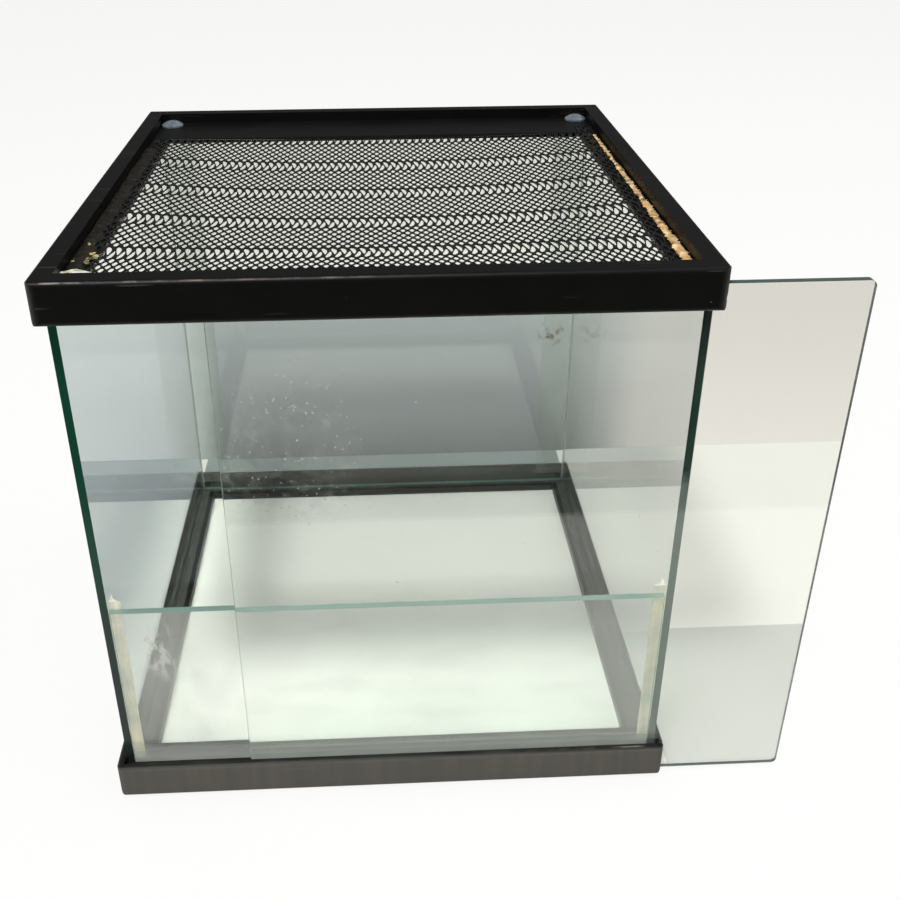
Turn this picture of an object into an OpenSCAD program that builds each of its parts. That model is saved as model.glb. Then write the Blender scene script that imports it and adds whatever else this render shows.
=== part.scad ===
// Front-opening glass reptile terrarium with a sliding door and a mesh top.
// X runs left to right, Y front to back, Z up.
// The origin is the centre of the base frame, on the surface that the tank stands on.

/* [Tank] */
// Width over the frames, left to right
frame_w = 307; // [240:1:460]
// Depth over the frames, front to back
frame_d = 307; // [240:1:460]
// Height from the table to the top of the rim
tank_h = 310; // [240:1:460]

/* [Frames] */
// Thickness of the outer wall of both frames
wall_t = 4; // [2.5:0.1:5]
// Height of the base frame's outer wall
base_skirt_h = 21; // [17:0.5:40]
// Height of the top frame's outer wall
top_skirt_h = 21; // [18:0.5:40]
// Radius of the frames' upright corners
corner_r = 6; // [2:0.5:8]
// Radius of the frames' long outer edges
edge_r = 2.5; // [0.5:0.1:2.8]

/* [Base frame] */
// Height of the seat for the panes above the table
seat_z = 5.5; // [5:0.5:9]
// Thickness of the seat ledge
seat_t = 2.5; // [1.5:0.1:3]
// Width of the side ledges from the outer face
side_ledge_w = 17; // [13:0.5:30]
// Width of the rear ledge from the outer face
rear_ledge_w = 14.5; // [13:0.5:30]
// Width of the front ledge from the outer face, with the door track
front_ledge_w = 33.5; // [23:0.5:40]
// Thickness of the lip that stiffens the ledge below
foot_lip_t = 2; // [1.5:0.1:3]
// Spacing of the ribs under the ledge
foot_rib_pitch = 48; // [25:1:80]
// Height of the rib behind the lower door track, above the seat
track_rib_h = 9.5; // [5:0.5:11]

/* [Lid] */
// Thickness of the inner wall of the pane grooves
rim_wall_t = 2.2; // [1.8:0.1:4]
// Thickness of the rim above the pane grooves
rim_roof_t = 2.7; // [2:0.1:4]
// Depth of the recess from the rim to the ledge that carries the mesh
recess_h = 6; // [5:0.5:8]
// Thickness of the mesh ledge
lid_ledge_t = 2.5; // [1.5:0.1:4]
// Width of the mesh ledge at the left and right
lid_side_ledge_w = 11.4; // [8:0.1:20]
// Width of the mesh ledge at the front
lid_front_ledge_w = 15; // [8:0.5:25]
// Width of the solid strip at the rear of the lid
lid_rear_ledge_w = 43; // [32:0.5:70]
// How far the inner walls stop above the skirt's lower edge
inner_wall_short = 3; // [1:0.5:6]

/* [Glass] */
// Thickness of every pane and of the door
glass_t = 4; // [3:0.5:6]
// Height of the low front pane above its seat
sill_h = 115.5; // [60:0.5:160]
// Room between a pane and the frame's groove
pane_gap = 0.2; // [0.1:0.05:0.5]
// Bond line between two panes
bond_t = 0.3; // [0.1:0.05:0.6]
// Room above the panes in the top frame
pane_head_gap = 0.5; // [0.2:0.1:1]

/* [Sliding door] */
// Play of the door in its tracks, front and back
door_play = 0.5; // [0.3:0.1:1]
// Thickness of the rib behind each door track
track_rib_t = 2; // [1.5:0.1:4]
// Thickness of the floor of the lower door track
track_floor_t = 1.2; // [0.8:0.1:2.5]
// Running gap under the door
door_floor_gap = 0.3; // [0.2:0.1:0.6]
// Room above the door in the upper track
door_head_gap = 6.5; // [4:0.5:8]
// Room between the closed door and the left end of its track
door_side_gap = 0.3; // [0.2:0.1:1]
// How far the closed door stops short of the frames' right end
door_setback = 3; // [0:0.1:6]
// How far the door is drawn out to the right
door_drawn = 70; // [0:1:200]
// Radius of the door's corners
door_corner_r = 3; // [1:0.5:8]
// Room above the door in the slot of the top frame's right end
slot_head_gap = 1.5; // [0.5:0.1:3]
// Depth of the rough cut beside that slot
slot_nick_depth = 1.1; // [0.4:0.1:1.8]

/* [Mesh screen] */
// Thickness of the expanded sheet
mesh_t = 0.8; // [0.5:0.1:1.5]
// Room between the sheet and the rim
mesh_gap = 1.4; // [0.5:0.1:3]
// How far the sheet laps over the rear strip
mesh_lap = 3; // [2:0.5:6]
// Width of the corner of the sheet that wasn't trimmed
mesh_tab_w = 32; // [15:1:60]
// Depth of that corner
mesh_tab_d = 12; // [6:1:20]
// Side to side pitch of the openings
net_pitch = 15; // [13:0.5:40]
// Place of the front row of crescents behind the sheet's front edge
first_row = 36.5; // [28:0.5:60]
// Front to back depth of one band of openings
band_d = 50.4; // [42:0.2:90]
// Share of a band that its row of crescents takes
crescent_share = 0.4; // [0.3:0.01:0.5]
// Bulge of a crescent's hollow side as a share of its width
crescent_hollow = 0.25; // [0.1:0.05:0.5]
// Width of the strands between the openings
strand_w = 2.6; // [2:0.1:4]
// Solid edge of the sheet
mesh_edge_w = 3; // [2:0.5:8]

/* [Glue and pads] */
// Radius of the amber glue run on the right
amber_r = 3; // [2.5:0.1:4]
// Length of the amber glue run
amber_len = 214; // [80:1:220]
// Radius of the dark glue run on the left
dark_r = 2.6; // [2.3:0.1:4]
// Length of the dark glue run
dark_len = 170; // [60:1:220]
// Room between the glue and the rim
glue_gap = 0.1; // [0:0.05:0.3]
// Lumps along each glue run
glue_lumps = 8; // [4:1:12]
// Radius of the glue dab at the front left corner
dab_r = 5; // [3:0.5:7]
// Diameter of the clear pads at the rear corners
pad_d = 14; // [8:0.5:20]
// Height of the clear pads
pad_h = 3.6; // [2:0.1:5]
// Height of the straight edge of a pad
pad_edge_h = 1; // [0.5:0.1:1.5]
// Room from a pad to the rim
pad_gap = 0.6; // [0.3:0.1:6]

/* [Silicone] */
// Leg of the beads in the corners between panes
bead_leg = 6; // [4:0.5:10]
// Thickness of a bead at its feathered edge
bead_toe = 0.5; // [0.3:0.1:0.8]
// Width of the silicone smeared on the back pane
smear_w = 22; // [12:1:40]
// How far the front beads stand above the sill pane
bead_over_sill = 5; // [2:0.5:12]

/* [Hidden] */
$fn = 64;

// How far a cutting shape runs past the face that it opens
over = 1;
// How far neighbouring rows of openings reach into each other, as a share of a row
row_nest = 0.2;
// Radius of a glue run between its lumps, as a share of the run's radius
glue_neck = 0.8;
// How much the lumps of a glue run differ in radius, as a share of it
lump_swing = 0.08;
// Turn that makes each lump of a glue run differ from the one before
lump_turn = 137;
// Lumps of the dab: place from the rim, place from the front and radius, as shares of its radius
dab_lumps = [[1, 0, 1], [2, 0, 0.9], [1.3, 0.6, 0.8]];
// Facets round a pad
pad_facets = 96;

// Outer faces and the inner faces of the outer walls
half_w = frame_w / 2;
half_d = frame_d / 2;
in_x = half_w - wall_t;
in_y = half_d - wall_t;

// Door track, from the outer wall back to the rib
track_w = glass_t + 2 * door_play;
track_y0 = -in_y;
track_y1 = track_y0 + track_w;
rib_y = track_y1 + track_rib_t;

// Fixed panes
pane_out_x = in_x - pane_gap;
pane_in_x = pane_out_x - glass_t;
pane_back_y = in_y - pane_gap;
pane_in_back_y = pane_back_y - glass_t;
pane_front_y = rib_y + pane_gap;
pane_in_front_y = pane_front_y + glass_t;
cross_x = pane_in_x - bond_t;
floor_top_z = seat_z + glass_t;
sill_top_z = seat_z + sill_h;

// Top frame, from its skirt up to its rim
skirt_z = tank_h - top_skirt_h;
groove_roof_z = tank_h - rim_roof_t;
pane_top_z = groove_roof_z - pane_head_gap;
lid_floor_z = tank_h - recess_h;
lid_under_z = lid_floor_z - lid_ledge_t;
inner_wall_z = skirt_z + inner_wall_short;
rim_in_x = pane_in_x - pane_gap - rim_wall_t;
rim_in_back_y = pane_in_back_y - pane_gap - rim_wall_t;
rim_in_front_y = rib_y;
hole_x = rim_in_x - lid_side_ledge_w;
hole_front_y = rim_in_front_y + lid_front_ledge_w;
hole_back_y = rim_in_back_y - lid_rear_ledge_w;

// Sliding door
door_bottom_z = track_floor_t + door_floor_gap;
door_top_z = groove_roof_z - door_head_gap;
door_closed_x = -in_x + door_side_gap;
door_w = half_w - door_setback - door_closed_x;
door_y = track_y0 + door_play;
slot_top_z = door_top_z + slot_head_gap;

// Mesh sheet and what lies on it
mesh_x = rim_in_x - mesh_gap;
mesh_front_y = rim_in_front_y + mesh_gap;
mesh_back_y = hole_back_y + mesh_lap;
mesh_top_z = lid_floor_z + mesh_t;

// A box between two corners
module block(low, high) {
    translate(low) cube(high - low);
}

// Flat outline of a frame seen from above
module frame_plan(w, d, r) {
    square([w - 2 * r, d], center = true);
    square([w, d - 2 * r], center = true);
    for (x = [-1, 1], y = [-1, 1])
        translate([x * (w / 2 - r), y * (d / 2 - r)]) circle(r);
}

// Upright outline of a frame seen from one side
module frame_profile(w, h, r) {
    translate([0, h / 2]) frame_plan(w, h, r);
}

// Solid frame blank with rounded upright corners and rounded long edges
module frame_blank(h) {
    intersection() {
        linear_extrude(h) frame_plan(frame_w, frame_d, corner_r);
        translate([0, frame_d / 2 + over, 0]) rotate([90, 0, 0])
            linear_extrude(frame_d + 2 * over) frame_profile(frame_w, h, edge_r);
        translate([-frame_w / 2 - over, 0, 0]) rotate([90, 0, 90])
            linear_extrude(frame_w + 2 * over) frame_profile(frame_d, h, edge_r);
    }
}

// Hollow under the seat ledge, between the outer wall and the stiffening lip
module foot_hollow() {
    top_z = seat_z - seat_t;
    side_x = half_w - side_ledge_w + foot_lip_t;
    back_y = half_d - rear_ledge_w + foot_lip_t;
    front_y = -half_d + front_ledge_w - foot_lip_t;
    difference() {
        block([-in_x, rib_y, -over], [in_x, in_y, top_z]);
        block([-side_x, front_y, -2 * over], [side_x, back_y, top_z + over]);
        foot_ribs();
    }
}

// Ribs that cross the hollow under the ledge
module foot_ribs() {
    count_x = floor((in_x - foot_rib_pitch / 2) / foot_rib_pitch);
    count_y = floor((in_y - foot_rib_pitch / 2) / foot_rib_pitch);
    for (i = [-count_x : count_x])
        translate([i * foot_rib_pitch - foot_lip_t / 2, -half_d, -2 * over])
            cube([foot_lip_t, frame_d, seat_z + 3 * over]);
    for (i = [-count_y : count_y])
        translate([-half_w, i * foot_rib_pitch - foot_lip_t / 2, -2 * over])
            cube([frame_w, foot_lip_t, seat_z + 3 * over]);
}

module base_frame() color("#2b2a29") difference() {
    frame_blank(base_skirt_h);
    // Room for the panes above the seat
    block([-in_x, rib_y, seat_z], [in_x, in_y, base_skirt_h + over]);
    // Open middle under the floor pane
    block([-half_w + side_ledge_w, -half_d + front_ledge_w, -over],
          [half_w - side_ledge_w, half_d - rear_ledge_w, seat_z + over]);
    // Door track, open at its right end
    block([-in_x, track_y0, track_floor_t], [half_w + over, track_y1, base_skirt_h + over]);
    // The rib behind the track is lower than the lip in front of it
    block([-in_x, track_y1 - over, seat_z + track_rib_h], [in_x, rib_y + over, base_skirt_h + over]);
    foot_hollow();
}

module top_frame() color("#191a1c") difference() {
    translate([0, 0, skirt_z]) frame_blank(top_skirt_h);
    // Space inside the skirt, below the inner walls
    block([-in_x, -in_y, skirt_z - over], [in_x, in_y, inner_wall_z]);
    // Space between the inner walls, below the mesh ledge
    block([-rim_in_x, rim_in_front_y, skirt_z - over], [rim_in_x, rim_in_back_y, lid_under_z]);
    pane_grooves();
    // Recess above the mesh ledge
    block([-rim_in_x, rim_in_front_y, lid_floor_z], [rim_in_x, rim_in_back_y, tank_h + over]);
    // Opening that the mesh covers
    block([-hole_x, hole_front_y, lid_under_z - over], [hole_x, hole_back_y, tank_h + over]);
    // Upper door track
    block([-in_x, track_y0, skirt_z - over], [in_x, track_y1, groove_roof_z]);
    door_slot();
}

// Grooves that take the upper edges of the side and back panes
module pane_grooves() {
    groove_in_x = pane_in_x - pane_gap;
    groove_in_y = pane_in_back_y - pane_gap;
    for (side = [-1, 1])
        block([min(side * in_x, side * groove_in_x), rib_y, skirt_z - over],
              [max(side * in_x, side * groove_in_x), in_y, groove_roof_z]);
    block([-in_x, groove_in_y, skirt_z - over], [in_x, in_y, groove_roof_z]);
}

// Slot in the right end that lets the door out, with a rough nick cut beside it
module door_slot() {
    block([in_x - over, track_y0, skirt_z - over], [half_w + over, track_y1, slot_top_z]);
    nick_r = 2 * slot_nick_depth;
    nick_z = (skirt_z + slot_top_z) / 2 - slot_nick_depth;
    translate([half_w + nick_r - slot_nick_depth, track_y0 + over, nick_z])
        rotate([90, 0, 0]) cylinder(h = wall_t + 2 * over, r = nick_r);
}

module glass_color() color("#bfe0d5", 0.35) children();

module floor_glass() glass_color()
    block([-cross_x, pane_in_front_y + bond_t, seat_z], [cross_x, pane_in_back_y - bond_t, floor_top_z]);

module back_glass() glass_color()
    block([-cross_x, pane_in_back_y, seat_z], [cross_x, pane_back_y, pane_top_z]);

// One side pane, side is -1 for the left and 1 for the right
module side_pane(side) glass_color()
    block([min(side * pane_in_x, side * pane_out_x), pane_front_y, seat_z],
          [max(side * pane_in_x, side * pane_out_x), pane_back_y, pane_top_z]);

module left_glass() side_pane(-1);

module right_glass() side_pane(1);

module sill_glass() glass_color()
    block([-cross_x, pane_front_y, seat_z], [cross_x, pane_in_front_y, sill_top_z]);

module sliding_door() glass_color()
    translate([door_closed_x + door_drawn + door_w / 2, door_y + glass_t, door_bottom_z])
        rotate([90, 0, 0]) linear_extrude(glass_t)
            frame_profile(door_w, door_top_z - door_bottom_z, door_corner_r);

// Crescent opening that bulges to the right, w wide over all and l long
module crescent(w, l) {
    steps = 6;
    function bow(t, reach) = [reach * sin(180 * t) - w / 2, l * (t - 0.5)];
    outer = [for (i = [0 : steps]) bow(i / steps, w)];
    inner = [for (i = [steps - 1 : -1 : 1]) bow(i / steps, w * crescent_hollow)];
    polygon(concat(outer, inner));
}

// Diamond opening, w wide and l long
module diamond(w, l) {
    polygon([[-w / 2, 0], [0, -l / 2], [w / 2, 0], [0, l / 2]]);
}

// Bands of openings, each a row of crescents between two rows of diamonds that nest with the next band
module mesh_openings() {
    net_x = mesh_x - mesh_edge_w;
    net_front_y = mesh_front_y + mesh_edge_w;
    net_back_y = mesh_back_y - mesh_edge_w;
    first_y = mesh_front_y + first_row;
    bands = ceil((net_back_y - first_y) / band_d);
    columns = floor(2 * net_x / net_pitch);
    opening_w = net_pitch - strand_w;
    crescent_l = band_d * crescent_share;
    row_d = (band_d - crescent_l) / 2;
    diamond_l = row_d * (1 + row_nest) - strand_w;
    diamond_y = crescent_l / 2 + row_d * (2 - row_nest) / 4;
    intersection() {
        translate([-net_x, net_front_y]) square([2 * net_x, net_back_y - net_front_y]);
        for (band = [0 : bands - 1], column = [0 : columns - 1]) {
            x = (column - (columns - 1) / 2) * net_pitch;
            y = first_y + band * band_d;
            translate([x, y]) crescent(opening_w, crescent_l - strand_w);
            translate([x, y - diamond_y]) diamond(opening_w, diamond_l);
            if (column < columns - 1)
                translate([x + net_pitch / 2, y + diamond_y]) diamond(opening_w, diamond_l);
        }
    }
}

module mesh_screen() color("#1d1d1e") {
    translate([0, 0, lid_floor_z]) linear_extrude(mesh_t) difference() {
        union() {
            translate([-mesh_x, mesh_front_y]) square([2 * mesh_x, mesh_back_y - mesh_front_y]);
            translate([mesh_x - mesh_tab_w, mesh_back_y - over]) square([mesh_tab_w, mesh_tab_d + over]);
        }
        mesh_openings();
    }
}

// Hardened run of glue with lumps, laid along the rim on top of the mesh, side is -1 or 1
module glue_run(side, r, l, y0) {
    run_l = l - 2 * r;
    edge_x = rim_in_x - glue_gap;
    intersection() {
        translate([side * (rim_in_x - r / 2), y0 + r, mesh_top_z - r / 3]) {
            rotate([-90, 0, 0]) cylinder(h = run_l, r = r * glue_neck);
            for (i = [0 : glue_lumps - 1])
                translate([0, i * run_l / (glue_lumps - 1), 0])
                    sphere(r * (1 + lump_swing * (cos(i * lump_turn) - 1)));
        }
        block([-edge_x, y0 - over, mesh_top_z], [edge_x, y0 + l + over, mesh_top_z + 2 * r]);
    }
}

module glue_right() color("#d9a968")
    glue_run(1, amber_r, amber_len, mesh_front_y + mesh_gap);

module glue_left() color("#2f2a1c")
    glue_run(-1, dark_r, dark_len, mesh_front_y + 4 * mesh_gap + 2 * dab_r);

// Bubbly dab of glue, lumps cut flat by the mesh
module glue_front_dab() color("#d8d2b4") {
    x0 = -rim_in_x + glue_gap;
    y0 = mesh_front_y + dab_r;
    intersection() {
        for (lump = dab_lumps)
            translate([x0 + lump[0] * dab_r, y0 + lump[1] * dab_r, mesh_top_z - dab_r / 2])
                sphere(lump[2] * dab_r);
        block([x0, mesh_front_y - mesh_gap + glue_gap, mesh_top_z],
              [x0 + 4 * dab_r, y0 + 2 * dab_r, mesh_top_z + dab_r]);
    }
}

// Clear domed pad in a rear corner of the recess, side is -1 or 1
module pad(side) color("#9fb0c4", 0.7) {
    dome_h = pad_h - pad_edge_h;
    dome_r = (pad_d * pad_d / 4 + dome_h * dome_h) / (2 * dome_h);
    translate([side * (rim_in_x - pad_gap - pad_d / 2), rim_in_back_y - pad_gap - pad_d / 2, lid_floor_z])
        intersection() {
            cylinder(h = pad_h + over, d = pad_d);
            translate([0, 0, pad_h - dome_r]) sphere(dome_r, $fn = pad_facets);
        }
}

module bumper_left() pad(-1);

module bumper_right() pad(1);

// Hollow fillet of silicone in the corner at the origin, filling +X and +Y
module bead_profile(smear = 0) {
    reach = bead_leg - bead_toe;
    difference() {
        square(bead_leg);
        translate([bead_leg, bead_leg]) circle(reach);
    }
    if (smear > 0) square([smear, bead_toe]);
}

module silicone_color() color("#d7dcd6", 0.6) children();

// Upright bead in a rear corner, smeared over the back pane, side is -1 or 1
module back_bead(side) silicone_color() {
    z0 = floor_top_z + bead_leg;
    translate([side * pane_in_x, pane_in_back_y, z0])
        mirror([side > 0 ? 1 : 0, 0, 0]) mirror([0, 1, 0])
            linear_extrude(inner_wall_z - bond_t - z0) bead_profile(smear_w);
}

module seal_back_left() back_bead(-1);

module seal_back_right() back_bead(1);

// Upright bead between a side pane and the sill pane, side is -1 or 1
module front_bead(side) silicone_color() {
    z0 = floor_top_z + bead_leg;
    translate([side * pane_in_x, pane_in_front_y, z0])
        mirror([side > 0 ? 1 : 0, 0, 0])
            linear_extrude(sill_top_z + bead_over_sill - z0) bead_profile();
}

module seal_front_left() front_bead(-1);

module seal_front_right() front_bead(1);

// Bead along the floor at a side pane, side is -1 or 1
module floor_side_bead(side) silicone_color()
    translate([side * pane_in_x, pane_in_back_y, floor_top_z])
        mirror([side > 0 ? 1 : 0, 0, 0]) rotate([90, 0, 0])
            linear_extrude(pane_in_back_y - pane_in_front_y) bead_profile();

module seal_floor_left() floor_side_bead(-1);

module seal_floor_right() floor_side_bead(1);

// Bead along the floor at the back pane or the sill pane, filling towards +Y or -Y
module floor_cross_bead(y, inward) silicone_color() {
    half_l = pane_in_x - bead_leg;
    translate([-half_l, y, floor_top_z]) mirror([0, inward > 0 ? 0 : 1, 0])
        rotate([90, 0, 90]) linear_extrude(2 * half_l) bead_profile();
}

module seal_floor_back() floor_cross_bead(pane_in_back_y, -1);

module seal_floor_front() floor_cross_bead(pane_in_front_y, 1);

base_frame();
top_frame();
floor_glass();
back_glass();
left_glass();
right_glass();
sill_glass();
sliding_door();
mesh_screen();
glue_right();
glue_left();
glue_front_dab();
bumper_left();
bumper_right();
seal_back_left();
seal_back_right();
seal_front_left();
seal_front_right();
seal_floor_back();
seal_floor_left();
seal_floor_right();
seal_floor_front();
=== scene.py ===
# %% [markdown]
# # A small glass terrarium with a sliding door
# The real object is a glass cube of about 30 cm between two black moulded frames. A full-height
# glass door slides sideways in front of it, and a sheet of black expanded metal is glued into the
# lid recess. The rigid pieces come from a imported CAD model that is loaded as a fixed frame. This
# lesson gives them their finishes and adds what a CAD solid holds badly: the fine mesh, lumpy glue,
# smears and dust. One frame for everything is simpler than fitting pieces by eye, so nothing here
# is moved afterwards.

import math
from functools import partial

import bpy
from mathutils import Matrix, Vector, noise
from mathutils.geometry import delaunay_2d_cdt


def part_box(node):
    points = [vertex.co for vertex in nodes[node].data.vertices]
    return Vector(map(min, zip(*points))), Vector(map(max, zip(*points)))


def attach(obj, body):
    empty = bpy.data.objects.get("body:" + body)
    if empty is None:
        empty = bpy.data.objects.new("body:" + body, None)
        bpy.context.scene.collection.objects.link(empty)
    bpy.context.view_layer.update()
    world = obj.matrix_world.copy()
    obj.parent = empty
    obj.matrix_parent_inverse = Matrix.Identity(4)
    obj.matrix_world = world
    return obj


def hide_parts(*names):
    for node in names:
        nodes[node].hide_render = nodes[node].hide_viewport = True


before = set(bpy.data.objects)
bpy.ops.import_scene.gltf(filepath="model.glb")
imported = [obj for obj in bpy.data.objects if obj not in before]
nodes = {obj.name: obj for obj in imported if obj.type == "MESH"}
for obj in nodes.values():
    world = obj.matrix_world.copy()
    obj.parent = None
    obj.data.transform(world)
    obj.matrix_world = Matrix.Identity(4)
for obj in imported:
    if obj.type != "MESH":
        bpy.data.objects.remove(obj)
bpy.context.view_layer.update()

# %% [markdown]
# ## Millimetres and colours
# Blender works in metres and in linear light, but a maker thinks in millimetres and picks colours
# as hex values on a screen. One number and one small function bridge that. Typing linear numbers
# by hand would work too, but nobody can read them back as a colour.

# %% Units and colours
MM = 0.001


def linear(hex_colour):
    """The linear colour, with an alpha of 1, of an sRGB hex value such as #1a1b1a."""
    shares = [int(hex_colour[i:i + 2], 16) / 255 for i in (1, 3, 5)]
    light = [s / 12.92 if s <= 0.04045 else ((s + 0.055) / 1.055) ** 2.4 for s in shares]
    return tuple(light) + (1.0,)


print("mid grey in linear light:", [round(c, 3) for c in linear("#808080")])

# %% [markdown]
# ## One helper for shader nodes
# Every finish below is a small network of nodes. Adding a node always means the same three things:
# choose its kind, set its options, and fill or link its sockets. One function does these three, so
# each material stays short enough to read, and no kind of node needs a function of its own. Each
# new material hands out that function already tied to its own network, under the short name add.

# %% Shader helpers
def add_node(tree, kind, sockets=(), **options):
    """Adds a shader node, sets its options, and fills its sockets with values or links.

    sockets is a dictionary by name, or a list in the order of the node's live inputs. Where a value
    is another node, its first live output is linked.
    """
    new = tree.nodes.new("ShaderNode" + kind)
    for option, value in options.items():
        setattr(new, option, value)
    if isinstance(sockets, dict):
        filled = [(new.inputs[name], value) for name, value in sockets.items()]
    else:
        filled = zip([socket for socket in new.inputs if socket.enabled], sockets)
    for socket, value in filled:
        if isinstance(value, bpy.types.Node):
            value = next(output for output in value.outputs if output.enabled)
        if isinstance(value, bpy.types.NodeSocket):
            tree.links.new(value, socket)
        else:
            socket.default_value = value
    return new


def start_material(name):
    """A new material with an empty node tree, and the function that adds nodes to that tree."""
    material = bpy.data.materials.new(name)
    material.use_nodes = True
    material.node_tree.nodes.clear()
    return material, partial(add_node, material.node_tree)


def dress(node_name, material):
    """Gives a CAD node its finish, with flat faces."""
    node = nodes[node_name]
    node.data.materials.clear()
    node.data.materials.append(material)
    for polygon in node.data.polygons:
        polygon.use_smooth = False


print("shader helpers ready")

# %% [markdown]
# ## Reusable patterns: speckle and mottle
# Dust, pinholes and scratches are the same few patterns at different sizes. A speckle is a Voronoi
# pattern cut at a small distance from each cell's centre, and a second random number per cell
# decides whether that speck is there at all. A mottle is soft noise stretched to a chosen contrast.
# Painting them by hand on a texture would need image files, and these also keep their size in
# millimetres.

# %% Pattern helpers
def place(add, stretch=(1, 1, 1)):
    """Coordinates in metres on the piece, optionally stretched along X, Y and Z."""
    where = add("TexCoord").outputs["Object"]
    if stretch == (1, 1, 1):
        return where
    return add("Mapping", {"Vector": where, "Scale": stretch})


def mottle(add, size, low=0.35, high=0.65, stretch=(1, 1, 1), detail=4.0):
    """Soft noise from 0 to 1 whose blotches are about size metres across."""
    cloud = add("TexNoise", {"Vector": place(add, stretch), "Scale": 1 / size, "Detail": detail})
    return add("MapRange", [cloud, low, high])


def speckle(add, spacing, diameter, share):
    """Round specks: 1 inside a speck and 0 outside, with a speck in only a share of the cells."""
    cells = add("TexVoronoi", {"Vector": place(add), "Scale": 1 / spacing})
    reach = diameter / spacing / 2
    dots = add("MapRange", [cells, reach * 0.6, reach, 1.0, 0.0])
    chance = add("SeparateColor", [cells.outputs["Color"]])
    chosen = add("MapRange", [chance, share, share - 0.001])
    return add("Math", [dots, chosen], operation="MULTIPLY")


def bumps(add, size, detail, strength, height):
    """A normal for lumps about size metres across that stand out by up to height metres."""
    lumps = add("TexNoise", {"Vector": place(add), "Scale": 1 / size, "Detail": detail})
    return add("Bump", {"Height": lumps, "Strength": strength, "Distance": height})


print("pattern helpers ready")

# %% [markdown]
# ## Camera
# The photograph looks down on the tank from above its lid, a little to the left of its middle. The
# camera could be placed by eye, but solving for it from the corners of the 307 mm frames and their
# panes is exact to about a pixel. The fit gives a place, three angles, a focal length in pixels and
# the point the lens axis hits. That point isn't the middle of the picture, because the picture was
# cropped, so a small lens shift takes it up.

# %% Camera
PICTURE = 900
camera_place = Vector((-3.9, -575.5, 480.5)) * MM
yaw, pitch, roll = math.radians(2.58), math.radians(-27.85), math.radians(-0.29)
focal_pixels = 1054.9
axis_pixel = (418.5, 383.3)
SENSOR = 36.0

ahead = Vector((math.sin(yaw) * math.cos(pitch), math.cos(yaw) * math.cos(pitch), math.sin(pitch)))
level = Vector((math.cos(yaw), -math.sin(yaw), 0))
above = level.cross(ahead)
side = level * math.cos(roll) + above * math.sin(roll)
up = above * math.cos(roll) - level * math.sin(roll)

lens = bpy.data.cameras.new("photo_camera")
lens.sensor_width = SENSOR
lens.lens = focal_pixels / PICTURE * SENSOR
lens.shift_x = (PICTURE / 2 - axis_pixel[0]) / PICTURE
lens.shift_y = (axis_pixel[1] - PICTURE / 2) / PICTURE
lens.clip_start = 0.01
camera = bpy.data.objects.new("photo_camera", lens)
camera.matrix_world = Matrix((
    (side.x, up.x, -ahead.x, camera_place.x),
    (side.y, up.y, -ahead.y, camera_place.y),
    (side.z, up.z, -ahead.z, camera_place.z),
    (0, 0, 0, 1),
))
bpy.context.scene.collection.objects.link(camera)
bpy.context.scene.camera = camera
bpy.context.scene.view_settings.view_transform = "Standard"
print("lens:", round(lens.lens, 2), "mm, shift:", round(lens.shift_x, 4), round(lens.shift_y, 4))

# %% [markdown]
# ## Building meshes
# Most added pieces are worked out point by point, so one function turns points and faces into an
# object. Given a slot, it rides on the tank body, which carries every added piece of the tank here.

# %% Mesh helper
def piece(name, points, faces, material, slot=None, smooth=True):
    """An object from points in metres. With a slot it is part of the tank, and otherwise stage."""
    mesh = bpy.data.meshes.new(name)
    mesh.from_pydata([tuple(p) for p in points], [], faces)
    mesh.validate()
    for polygon in mesh.polygons:
        polygon.use_smooth = smooth
    made = bpy.data.objects.new(name, mesh)
    made.data.materials.append(material)
    bpy.context.scene.collection.objects.link(made)
    if slot is None:
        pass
    else:
        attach(made, "tank")
    return made


print("mesh helper ready")

# %% [markdown]
# ## Stage materials
# Clear glass has no colour of its own: the eye only knows it by what it bends and mirrors. A white
# void makes it vanish, so the studio has cards that show through the glass or in its mirror images.
# Lamps of their own could light them, but matt papers and one card that glows by itself are easier
# to judge. The floor is plain, pale and matt, and keeps the shadow.

# %% Stage materials
def floor_paper():
    """Matt pale paper. The camera sees it mostly as bare white, and it keeps the shadow."""
    material, add = start_material("matt_paper_floor")
    white_share = 0.8
    coat = add("BsdfDiffuse", {"Color": linear("#e6e5dc")})
    white = add("Emission", {"Color": linear("#ffffff"), "Strength": 1.0})
    seen = add("LightPath").outputs["Is Camera Ray"]
    share = add("Math", [seen, white_share], operation="MULTIPLY")
    add("OutputMaterial", [add("MixShader", [share, coat, white])])
    return material


def glowing_card():
    """A glowing card with the tank's shade painted in: dim behind the tank, most of all low down,
    and warmest at the right.
    """
    material, add = start_material("lit_card")
    middle, half_width, end, height = 15 * MM, 150 * MM, 205 * MM, 130 * MM
    spot = add("SeparateXYZ", [place(add)])
    off_middle = add("Math", [spot.outputs["X"], middle], operation="SUBTRACT")
    off_middle = add("Math", [off_middle], operation="ABSOLUTE")
    aside = add("MapRange", [off_middle, half_width, end])
    # Painted shade of the tank: the glow is dimmer behind it, and dimmest at the foot.
    shaded = add("MapRange", [spot.outputs["Z"], 0.0, height, 0.17, 0.48])
    bright = add("MapRange", [spot.outputs["Z"], 0.0, height, 0.9, 0.78])
    extra = add("Math", [bright, shaded], operation="SUBTRACT")
    extra = add("Math", [extra, aside], operation="MULTIPLY")
    rightward = add("MapRange", [spot.outputs["X"], 150 * MM, 215 * MM])
    colour = add("Mix", [rightward, linear("#f2faf8"), linear("#fffaf0")], data_type="RGBA")
    strength = add("Math", [shaded, extra], operation="ADD")
    add("OutputMaterial", [add("Emission", {"Color": colour, "Strength": strength})])
    return material


def plain_card(name, hex_colour):
    """A matt card of one colour."""
    material, add = start_material(name)
    add("OutputMaterial", [add("BsdfDiffuse", {"Color": linear(hex_colour)})])
    return material


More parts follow.
